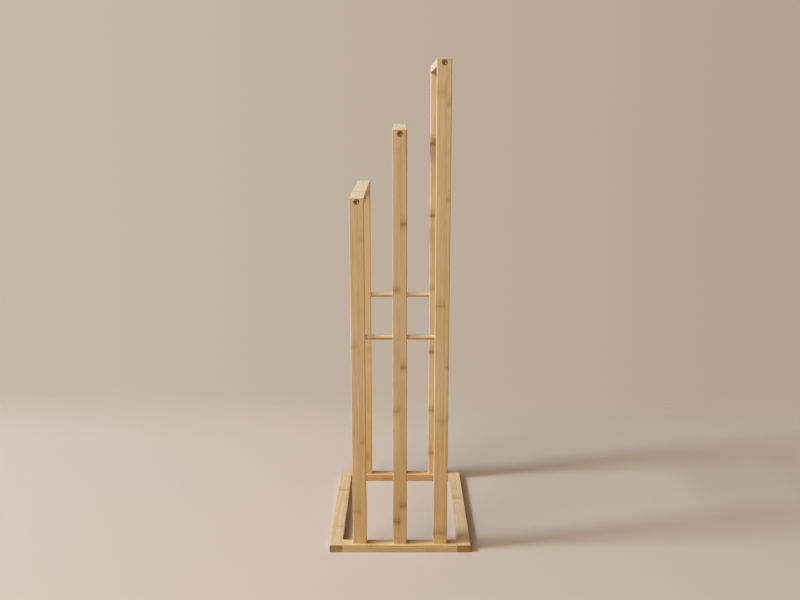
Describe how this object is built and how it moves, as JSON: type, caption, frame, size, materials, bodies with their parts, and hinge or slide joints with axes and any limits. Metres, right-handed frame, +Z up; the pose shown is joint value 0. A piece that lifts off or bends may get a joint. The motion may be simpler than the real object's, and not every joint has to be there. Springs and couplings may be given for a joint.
{
  "type": "towel rack",
  "caption": "Free-standing bamboo towel rack with stepped towel bars on slim posts, round braces and a flat rectangular base frame.",
  "frame": {"origin": "on the floor, under the middle of the base frame", "axes": "+Z up; +X across the rack from the short bar to the tall one; +Y along the bars, away from the viewer of the picture"},
  "size_m": [0.2426, 0.3194, 0.82],
  "materials": {
    "bamboo": "laminated bamboo under clear satin lacquer",
    "dowel_wood": "plain beech",
    "bolt_steel": "dark plated",
    "insert_brass": "plain turned",
    "pin_steel": "ground",
    "screw_steel": "zinc plated"
  },
  "bodies": {
    "root": {"base_front_rail": "bamboo", "base_left_rail": "bamboo", "base_rear_rail": "bamboo", "base_right_rail": "bamboo", "front_bar_bolts": "bolt_steel", "front_bar_inserts": "insert_brass", "front_bar_pins": "pin_steel", "front_brace": "bamboo", "front_corner_dowels": "dowel_wood", "front_middle_post": "bamboo", "front_post_dowels": "dowel_wood", "front_post_screws": "screw_steel", "front_short_post": "bamboo", "front_tall_post": "bamboo", "middle_towel_bar": "bamboo", "rear_bar_bolts": "bolt_steel", "rear_bar_inserts": "insert_brass", "rear_bar_pins": "pin_steel", "rear_brace": "bamboo", "rear_corner_dowels": "dowel_wood", "rear_middle_post": "bamboo", "rear_post_dowels": "dowel_wood", "rear_post_screws": "screw_steel", "rear_short_post": "bamboo", "rear_tall_post": "bamboo", "short_towel_bar": "bamboo", "tall_towel_bar": "bamboo"}
  },
  "joints": []
}
